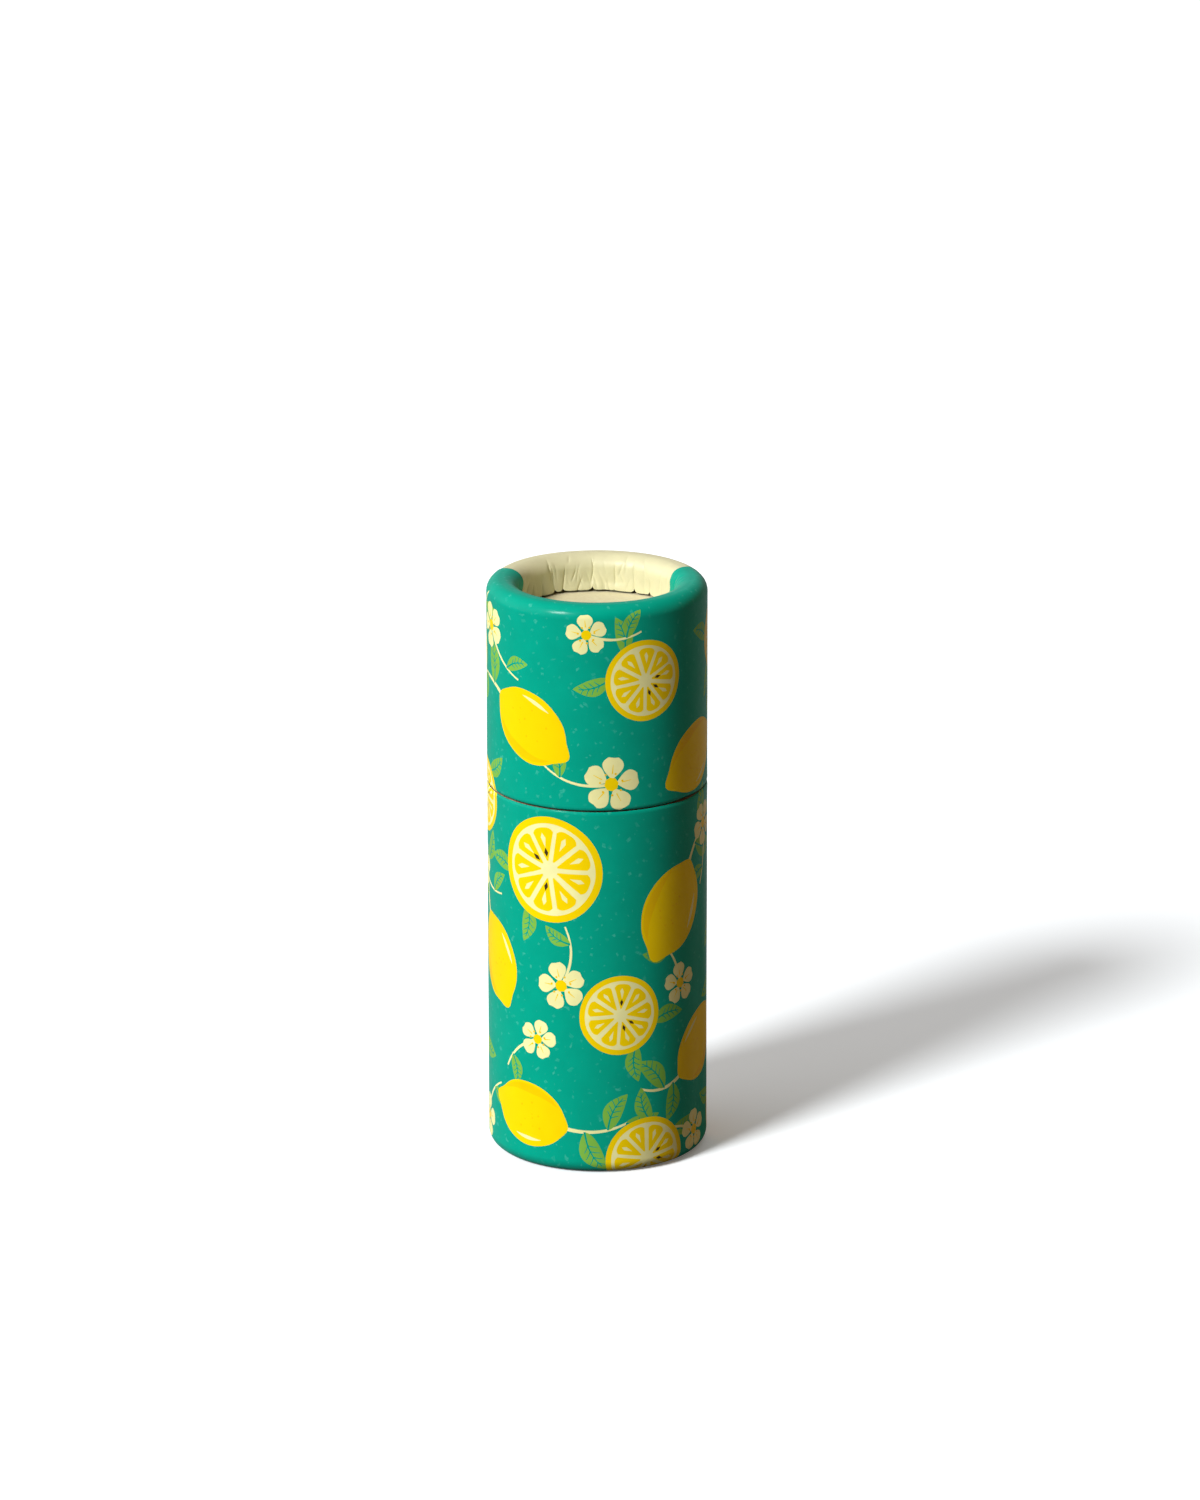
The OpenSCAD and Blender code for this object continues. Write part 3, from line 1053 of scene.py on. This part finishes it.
# %% [markdown]
# ## Wound board
#
# The stiff part of the tube is several plies of grey-brown board, wound in a spiral and glued. Inside the
# cap the innermost ply shows its spiral joint as a thin line, and a cut end shows the plies as fine rings.
# The same finish serves both: the spiral comes from the flat coordinates, the rings from the distance to
# the tube's axis.

# %% Spiral and rings
def spiral_line(tree, reach, lead, width):
    """A thin line that climbs round a tube by lead millimetres a turn, from 0 to 1."""
    parts = add(tree, "SeparateXYZ", {"Vector": sheet_place(tree)})
    turns = calc(tree, "DIVIDE", parts.outputs[0], math.tau * reach)
    climb = calc(tree, "DIVIDE", parts.outputs[1], lead)
    phase = calc(tree, "FRACT", calc(tree, "ADD", turns, climb))
    away = calc(tree, "ABSOLUTE", calc(tree, "SUBTRACT", phase, 0.5))
    return spread(tree, away, 0.0, width / lead, 1.0, 0.0)


def ply_rings(tree, ply):
    """Rings round the axis, one for each ply of board, from 0 to 1."""
    level = {0: object_place(tree), 1: (1.0, 1.0, 0.0)}
    flat = add(tree, "VectorMath", level, operation="MULTIPLY").outputs[0]
    radius = add(tree, "VectorMath", {0: flat}, operation="LENGTH").outputs["Value"]
    wobble = calc(tree, "MULTIPLY", grain(tree, object_place(tree), 1.2), 0.09 * MM)
    phase = calc(tree, "FRACT", calc(tree, "DIVIDE", calc(tree, "ADD", radius, wobble), ply * MM))
    return spread(tree, calc(tree, "ABSOLUTE", calc(tree, "SUBTRACT", phase, 0.5)), 0.30, 0.5)


def board_finish(name, light, dark, reach, cut=False, roughness=0.75, lead=19.0):
    """Board of pressed fibres: a wall with a spiral joint, or the cut through its plies."""
    material, tree, shader = start_finish(name, Specular_IOR_Level=0.3)
    place = object_place(tree)
    lying = add(tree, "Mapping", {"Vector": place, "Scale": (1.0, 1.0, 2.2)}).outputs[0]
    fibres = grain(tree, lying, 0.7, detail=6, roughness=0.72)
    colour = blend(tree, spread(tree, fibres, 0.36, 0.66), light, dark)
    line = ply_rings(tree, 0.3) if cut else spiral_line(tree, reach, lead, 0.10)
    colour = blend(tree, calc(tree, "MULTIPLY", line, 0.55 if cut else 0.5), colour, dark)
    stain = spread(tree, grain(tree, place, 4.0), 0.3, 0.7, 0.86, 1.06)
    colour = blend(tree, 1.0, colour, stain, mode="MULTIPLY")
    tree.links.new(colour, shader.inputs["Base Color"])
    rough = spread(tree, fibres, 0.3, 0.7, roughness - 0.07, roughness + 0.07)
    tree.links.new(rough, shader.inputs["Roughness"])
    relief = calc(tree, "SUBTRACT", grain(tree, lying, 0.22, detail=5), calc(tree, "MULTIPLY", line, 0.8))
    roughen(tree, shader, relief, 0.03, 0.8)
    return material


kraft_wall = board_finish("kraft_wall", (0.50, 0.37, 0.22, 1), (0.32, 0.22, 0.12, 1), BORE_R)
kraft_cut = board_finish("kraft_cut", (0.56, 0.44, 0.29, 1), (0.27, 0.19, 0.11, 1), BORE_R, cut=True)
white_wall = board_finish("white_wall", (0.82, 0.78, 0.68, 1), (0.72, 0.66, 0.54, 1), NECK_R, roughness=0.55)
white_cut = board_finish("white_cut", (0.74, 0.69, 0.57, 1), (0.50, 0.42, 0.31, 1), NECK_R, cut=True)
print("board finishes: kraft and white, each as a wall and as a cut")

# %% [markdown]
# ## Turned pieces
#
# The remaining pieces are plain rings and discs, but each has rounded edges and its own finish on the cut
# faces. One function turns any outline: closed outlines give rings, and open ones that start and end on the
# axis give discs. Rows that reach the axis shrink to a single point, so that the middle of a disc is clean.

# %% Turning an outline
TURN_COLUMNS = 192


def turn_piece(name, body, slot, nodes, corners, finishes, cut_spans=(), closed=True, spacing=2.0, **fields):
    """Turns corners about the axis. Faces within the corner ranges of cut_spans take the second finish.
    fields may hold proud and rise, as turned_places takes them."""
    outline = outline_of(corners, closed)
    rows = rows_between(outline, 0.0, round(float(outline.s[-1]), 3), spacing)
    reach = max(corner[0] for corner in corners)
    ring = np.linspace(0, math.tau * reach, TURN_COLUMNS + 1)
    flat = np.stack(np.meshgrid(ring, rows), -1).reshape(-1, 2)
    faces = lattice(len(rows), len(ring))
    cuts = [(outline.corners[a][0], outline.corners[b][1]) for a, b in cut_spans]
    middles = np.repeat((rows[:-1] + rows[1:]) / 2, len(ring) - 1)
    numbers = np.zeros(len(faces), np.int32)
    for low, high in cuts:
        numbers[(middles > low) & (middles < high)] = 1
    if not closed:
        last = (len(rows) - 1) * len(ring)
        faces = [tuple(0 if k < len(ring) else last if k >= last else k for k in face) for face in faces]
        faces = [tuple(dict.fromkeys(face)) for face in faces]
    places, normals = turned_places(outline, flat[:, 0], flat[:, 1], reach, **fields)
    if not closed:
        normals[: len(ring)], normals[last:] = (0, 0, -1), (0, 0, 1)
    used = np.unique(np.concatenate([np.array(face) for face in faces]))
    renumber = np.full(len(flat), -1)
    renumber[used] = np.arange(len(used))
    faces = [tuple(int(renumber[k]) for k in face) for face in faces]
    piece = new_piece(name, places[used], normals[used], faces, finishes, numbers, {"sheet": flat[used]})
    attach(piece, body)
    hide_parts(*nodes)
    return piece


# %% The boards of cap and base
LEG_SHORT = 0.45


def board_corners(length, leg_end):
    """The wound board's outline, from the joint at height 0 to its crown under the paper. Its turned-in leg
    ends a little short of the disc, so the gap under the paper's end is dark."""
    crown = length - PAPER_T - GLUE
    outer, leg = BOARD_R - GLUE, RIM_BORE + PAPER_T + GLUE
    bend, under = PAPER_BEND - PAPER_T, PAPER_BEND - PAPER_T - BOARD_T
    return [
        (BORE_R, 0.0, 0.06), (outer, 0.0, 0.06), (outer, crown, bend), (leg, crown, bend),
        (leg, leg_end + LEG_SHORT, 0.1), (leg + BOARD_T, leg_end + LEG_SHORT, 0.1),
        (leg + BOARD_T, crown - BOARD_T, under), (BORE_R, crown - BOARD_T, under),
    ]


def lifted(corners, level, upward):
    """Corners whose heights count up or down from level. Counting down also turns their order round."""
    moved = [(r, level + upward * h, rounding) for r, h, rounding in corners]
    return moved if upward > 0 else moved[::-1]


def cut_with_paper(corners, level, upward):
    """The field that moves a board's cut end at the joint with the paper's, and a little further back."""
    outline = outline_of(corners)
    reach = max(corner[0] for corner in corners)

    def rise(u, s):
        away = abs(np.interp(s, outline.s, outline.h) - level)
        return upward * (cut_back(u / reach) + BOARD_BACK) * eased(1 - away / CUT_BLEND)

    return rise


cap_corners = lifted(board_corners(TOTAL_H - CAP_FOOT, CAP_DISC_TOP - CAP_FOOT), CAP_FOOT, 1)
turn_piece(
    "cap_wound_board", "cap", "wound_board", ["cap_tube"], cap_corners, [kraft_wall, kraft_cut],
    [(0, 1), (4, 5)], rise=cut_with_paper(cap_corners, CAP_FOOT, 1),
)
base_corners = lifted(board_corners(BASE_TOP, BASE_TOP - PUSHER_FOOT), BASE_TOP, -1)
turn_piece(
    "base_wound_board", "base", "wound_board", ["base_tube"], base_corners, [kraft_wall, kraft_cut],
    [(2, 3), (6, 7)], rise=cut_with_paper(base_corners, BASE_TOP, -1),
)

# %% The neck
neck_corners = [
    (NECK_BORE, NECK_FOOT, 0.05), (NECK_R, NECK_FOOT, 0.08), (NECK_R, NECK_TOP - NECK_LEAD, 0.2),
    (NECK_R - NECK_LEAD, NECK_TOP, 0.12), (NECK_BORE, NECK_TOP, 0.04),
]
turn_piece("neck", "base", "neck_board", ["neck_tube"], neck_corners, [white_wall, white_cut], [(3, 4)])

# %% [markdown]
# ## Greaseproof and waxed paper
#
# The neck is lined with greaseproof paper, so that the balm's oils don't soak into the board. Such paper is
# dense and slightly see-through, with a sheen and cloudy patches. The lining stands up to the neck's mouth
# as a fine bright edge, and a small waxed disc of the same stuff lies under the balm.

# %% Greaseproof finish
def greaseproof_finish(name):
    """Dense, shiny paper with cloudy patches."""
    material, tree, shader = start_finish(
        name, Coat_Weight=0.35, Coat_Roughness=0.18, Specular_IOR_Level=0.55
    )
    place = object_place(tree)
    cloud = spread(tree, grain(tree, place, 1.6, detail=5, roughness=0.65), 0.35, 0.68)
    colour = blend(tree, cloud, (0.90, 0.87, 0.76, 1), (0.80, 0.75, 0.58, 1))
    tree.links.new(colour, shader.inputs["Base Color"])
    tree.links.new(spread(tree, cloud, 0.0, 1.0, 0.26, 0.42), shader.inputs["Roughness"])
    roughen(tree, shader, grain(tree, place, 0.4, detail=4), 0.01, 0.6)
    return material


greaseproof = greaseproof_finish("greaseproof")
lining_corners = [
    (LINED_R, NECK_FOOT, 0.02), (NECK_BORE - GLUE / 2, NECK_FOOT, 0.02),
    (NECK_BORE - GLUE / 2, NECK_TOP, 0.02), (LINED_R, NECK_TOP, 0.02),
]
turn_piece("neck_lining_paper", "base", "waxed_paper", ["neck_lining"], lining_corners, [greaseproof])

# %% [markdown]
# ## The discs
#
# The cap is closed by a disc of cream-faced board, which shows at the bottom of the rim's recess, and a
# disc of the same board carries the balm. Pressed board is never quite flat, so both get a swell of a few
# hundredths of a millimetre. Under a soft light that is the difference between board and plastic.

# %% A gentle swell for flat faces
DISC_SWELL = 0.02


def swell_field(reach, size, seed):
    """Slow random waves over a disc, in millimetres."""
    luck = random.Random(seed)
    waves = [(luck.uniform(-0.6, 0.6), luck.uniform(-0.6, 0.6), luck.uniform(0, math.tau)) for _ in range(7)]

    def proud(u, s, radius_at):
        x, y = radius_at(s) * np.cos(u / reach), radius_at(s) * np.sin(u / reach)
        return size * sum(np.sin(a * x + b * y + phase) for a, b, phase in waves) / 3

    return proud


def disc_swell(corners, size, seed, face_low, face_high):
    """Swell on the part of an open outline between two lengths along it."""
    outline = outline_of(corners, closed=False)
    reach = max(corner[0] for corner in corners)
    field = swell_field(reach, size, seed)

    def proud(u, s):
        share = eased((s - face_low) / 1.0) * eased((face_high - s) / 0.6)
        return share * field(u, s, lambda at: np.interp(at, outline.s, outline.r))

    return proud


# %% Cream board for the discs
def cream_board_finish(name):
    """Smooth-faced cream board with fine fibres and a few specks."""
    material, tree, shader = start_finish(name, Specular_IOR_Level=0.35)
    place = object_place(tree)
    fibres = grain(tree, place, 0.45, detail=6, roughness=0.7)
    colour = blend(tree, spread(tree, fibres, 0.35, 0.7), (0.75, 0.68, 0.46, 1), (0.68, 0.60, 0.38, 1))
    specks = {"Vector": place, "Scale": 1.0 / (1.1 * MM)}
    specks = add(tree, "TexVoronoi", specks).outputs["Distance"]
    speck = spread(tree, specks, 0.05, 0.09, 0.35, 0.0)
    colour = blend(tree, speck, colour, (0.58, 0.47, 0.26, 1))
    tree.links.new(colour, shader.inputs["Base Color"])
    tree.links.new(spread(tree, fibres, 0.3, 0.7, 0.52, 0.66), shader.inputs["Roughness"])
    roughen(tree, shader, grain(tree, place, 0.25, detail=5), 0.012, 0.7)
    return material


cream_board = cream_board_finish("cream_board")
cap_disc_corners = [
    (0.0, CAP_DISC_FOOT, 0.0), (CAP_DISC_R, CAP_DISC_FOOT, 0.1),
    (CAP_DISC_R, CAP_DISC_TOP, 0.12), (0.0, CAP_DISC_TOP, 0.0),
]
top_start = CAP_DISC_R + CAP_DISC_TOP - CAP_DISC_FOOT
past_middle = top_start + CAP_DISC_R + 3
turn_piece(
    "cap_end_disc", "cap", "cream_board", ["cap_disc"], cap_disc_corners, [cream_board, kraft_cut], [],
    closed=False, spacing=0.7, proud=disc_swell(cap_disc_corners, DISC_SWELL, 5, top_start, past_middle),
)

# %% The pusher
pusher_corners = [
    (0.0, PUSHER_FOOT, 0.0), (PUSHER_R, PUSHER_FOOT, 0.1),
    (PUSHER_R, PUSHER_TOP, 0.08), (0.0, PUSHER_TOP, 0.0),
]
turn_piece(
    "pusher_board_disc", "stick", "cream_board", ["pusher_disc"], pusher_corners,
    [cream_board, kraft_cut], [], closed=False, spacing=0.7,
    proud=disc_swell(pusher_corners, DISC_SWELL, 8, -3.0, PUSHER_R - 0.3),
)
ring_corners = [
    (RING_BORE, RING_FOOT, 0.05), (PUSHER_R, RING_FOOT, 0.05),
    (PUSHER_R, RING_TOP, 0.1), (RING_BORE, RING_TOP, 0.06),
]
turn_piece(
    "pusher_board_ring", "stick", "neck_board", ["pusher_ring"], ring_corners, [white_wall, white_cut],
    [(2, 3)],
)
waxed_corners = [
    (0.0, RING_FOOT, 0.0), (RING_BORE - GLUE, RING_FOOT, 0.03),
    (RING_BORE - GLUE, BALM_FOOT, 0.03), (0.0, BALM_FOOT, 0.0),
]
turn_piece(
    "waxed_paper_disc", "stick", "waxed_paper", ["pusher_lining"], waxed_corners, [greaseproof],
    closed=False, spacing=1.0,
)

# %% [markdown]
# ## The balm
#
# The balm is poured hot into the neck and sets there. It shrinks a little as it cools, so its top is a
# shallow dish with a thin raised rim where it clung to the paper, and faint rings run round the dish. Wax
# and oil let light in a few millimetres deep, which the shader's subsurface scattering gives.

# %% Balm finish
def balm_finish(name):
    """Pale wax with cloudy crystals, a soft sheen and light inside it."""
    material, tree, shader = start_finish(
        name, Subsurface_Weight=0.35, Subsurface_Radius=(1.0, 0.75, 0.35), Subsurface_Scale=1.4 * MM,
        Specular_IOR_Level=0.5, Coat_Weight=0.1, Coat_Roughness=0.3, IOR=1.44,
    )
    place = object_place(tree)
    cloud = spread(tree, grain(tree, place, 1.8, detail=5), 0.32, 0.7)
    colour = blend(tree, cloud, (0.93, 0.86, 0.60, 1), (0.87, 0.77, 0.46, 1))
    tree.links.new(colour, shader.inputs["Base Color"])
    rough = spread(tree, grain(tree, place, 0.9, detail=4), 0.3, 0.7, 0.30, 0.46)
    tree.links.new(rough, shader.inputs["Roughness"])
    upright = add(tree, "Mapping", {"Vector": place, "Scale": (1.0, 1.0, 0.08)}).outputs[0]
    drag = spread(tree, grain(tree, upright, 0.5, detail=3), 0.45, 0.75)
    relief = calc(tree, "ADD", calc(tree, "MULTIPLY", drag, 0.7), grain(tree, place, 0.3, detail=4))
    roughen(tree, shader, relief, 0.018, 0.8)
    return material


balm_wax = balm_finish("balm_wax")
balm_corners = [
    (0.0, BALM_FOOT + GLUE, 0.0), (RING_BORE - GLUE, BALM_FOOT + GLUE, 0.05),
    (RING_BORE - GLUE, RING_TOP, 0.03),
    (BALM_R, RING_TOP, 0.1), (BALM_R, BALM_TOP, 0.07), (BALM_R - 0.35, BALM_TOP - 0.22, 0.25),
    (BALM_R - 1.6, BALM_TOP - 0.36, 1.5), (3.0, BALM_TOP - 0.5, 5.0), (0.0, BALM_TOP - 0.5, 0.0),
]
balm_outline = outline_of(balm_corners, closed=False)


def balm_rings(u, s):
    """Shallow rings left in the dish as the balm set."""
    away = np.interp(s, balm_outline.s, balm_outline.r)
    on_top = eased((s - balm_outline.corners[5][1]) / 0.8)
    return 0.012 * on_top * np.sin(away * 3.1 + 0.35 * np.sin(2 * u / BALM_R)) * eased(away / 2)


turn_piece(
    "balm_stick", "stick", "balm", ["balm"], balm_corners, [balm_wax], closed=False, spacing=0.5,
    proud=balm_rings,
)

# %% [markdown]
# ## Floor, light and camera
#
# The tube stands on a plain white table under studio light: one large soft lamp from the front left, which
# draws the shadow to the back right, and a bright ceiling that fills the shadow. The floor shows its full
# white to the camera but sends less light back, as a table does when dark cloth hangs beside it, so the
# side away from the lamp stays deep. A warm glow from the right, like a wooden screen, keeps the yellow ink
# golden there, and the floor is a touch cool, which leaves its shadow grey. A dim glow lights the back.

# %% A white floor
FLOOR_HALF = 3000.0
floor_mesh = bpy.data.meshes.new("floor")
half = FLOOR_HALF * MM
floor_corners = [(-half, -half, 0), (half, -half, 0), (half, half, 0), (-half, half, 0)]
floor_mesh.from_pydata(floor_corners, [], [(0, 1, 2, 3)])
floor = bpy.data.objects.new("floor", floor_mesh)
bpy.context.scene.collection.objects.link(floor)
print("floor:", 2 * half, "m square")

# %% How the floor takes the light
FLOOR_TINT = (0.955, 1.0, 1.035)


def floor_finish(seen, lift, mirrored, bounced):
    """A matt white that is brighter to the eye than in the light it sends back."""
    material, tree, shader = start_finish(
        "white_table", Roughness=0.9, Specular_IOR_Level=0.0, Emission_Color=(1, 1, 1, 1)
    )
    rays = add(tree, "LightPath").outputs
    tree.links.new(calc(tree, "MULTIPLY", rays["Is Camera Ray"], lift), shader.inputs["Emission Strength"])
    shade = spread(tree, rays["Is Diffuse Ray"], 0.0, 1.0, mirrored, bounced)
    shade = calc(tree, "MAXIMUM", shade, calc(tree, "MULTIPLY", rays["Is Camera Ray"], seen))
    tinted = {channel: calc(tree, "MULTIPLY", shade, share) for channel, share in enumerate(FLOOR_TINT)}
    tree.links.new(add(tree, "CombineColor", tinted).outputs[0], shader.inputs["Base Color"])
    return material


floor_mesh.materials.append(floor_finish(seen=1.1, lift=0.1, mirrored=0.4, bounced=0.1))

# %% A bright ceiling
CEILING, CEILING_FOCUS = 0.45, 6.0
LEFT_WALL, BACK_WALL, WALL_FOCUS = 1.8, 0.6, 3.0
WARM_WALL, WARM_FOCUS, WARM_COLOUR = 0.5, 3.0, (1.0, 0.52, 0.12)
ROOM = 0.02


def patch_of_light(tree, component, focus, sign=1.0):
    """1 where a direction points along one axis, and less the further it points away from it."""
    along = calc(tree, "MAXIMUM", calc(tree, "MULTIPLY", component, sign), 0.0)
    return calc(tree, "POWER", along, focus)


def room_light():
    """Light from the room: a bright ceiling, a white wall on the left, a dimmer one behind and a warm glow
    from the right."""
    world = bpy.data.worlds.new("studio")
    world.use_nodes = True
    tree = world.node_tree
    way = add(tree, "SeparateXYZ", {"Vector": add(tree, "TexCoord").outputs["Generated"]})
    up = patch_of_light(tree, way.outputs[2], CEILING_FOCUS)
    left = patch_of_light(tree, way.outputs[0], WALL_FOCUS, -1.0)
    behind = patch_of_light(tree, way.outputs[1], WALL_FOCUS)
    light = ROOM
    for part, strength in ((up, CEILING), (left, LEFT_WALL), (behind, BACK_WALL)):
        light = calc(tree, "ADD", light, calc(tree, "MULTIPLY", part, strength))
    right = patch_of_light(tree, way.outputs[0], WARM_FOCUS)
    parts = {}
    for channel, share in enumerate(WARM_COLOUR):
        warm = calc(tree, "MULTIPLY", right, WARM_WALL * share)
        parts[channel] = calc(tree, "ADD", light, warm)
    colour = add(tree, "CombineColor", parts).outputs[0]
    tree.links.new(colour, tree.nodes["Background"].inputs["Color"])
    bpy.context.scene.world = world


room_light()
print("room light:", CEILING, "above,", LEFT_WALL, "left,", BACK_WALL, "behind,", WARM_WALL, "right")

# %% The lamp
LAMP_SIDE, LAMP_RISE = math.radians(44), math.radians(34.5)
LAMP_SPREAD, LAMP_STRENGTH = math.radians(16), 3.8
level_reach = math.cos(LAMP_RISE)
toward_lamp = Vector((
    -math.sin(LAMP_SIDE) * level_reach, -math.cos(LAMP_SIDE) * level_reach, math.sin(LAMP_RISE)
))
lamp_data = bpy.data.lights.new("softbox", "SUN")
lamp_data.angle = LAMP_SPREAD
lamp_data.energy = LAMP_STRENGTH
lamp = bpy.data.objects.new("softbox", lamp_data)
lamp.location = toward_lamp
lamp.rotation_euler = (-toward_lamp).to_track_quat("-Z", "Y").to_euler()
bpy.context.scene.collection.objects.link(lamp)
print("the lamp shines along", [round(x, 3) for x in -toward_lamp])

# %% The camera
CAMERA_PLACE = (0.32, -863.85, 313.3)
CAMERA_PITCH, CAMERA_ROLL = 0.29944, -0.00155
FOCAL_PIXELS, FRAME_LONG_SIDE = 7979.5, 1500
SENSOR = 36.0
camera_data = bpy.data.cameras.new("camera")
camera_data.sensor_width = SENSOR
camera_data.lens = FOCAL_PIXELS / FRAME_LONG_SIDE * SENSOR
camera_data.clip_start, camera_data.clip_end = 0.01, 20.0
camera = bpy.data.objects.new("camera", camera_data)
camera.location = Vector(CAMERA_PLACE) * MM
looking = Vector((0.0, math.cos(CAMERA_PITCH), -math.sin(CAMERA_PITCH)))
camera.rotation_mode = "QUATERNION"
camera.rotation_quaternion = looking.to_track_quat("-Z", "Y") @ Quaternion((0, 0, 1), CAMERA_ROLL)
bpy.context.scene.collection.objects.link(camera)
bpy.context.scene.camera = camera
bpy.context.scene.view_settings.view_transform = "Standard"
print("lens", round(camera_data.lens, 1), "mm")
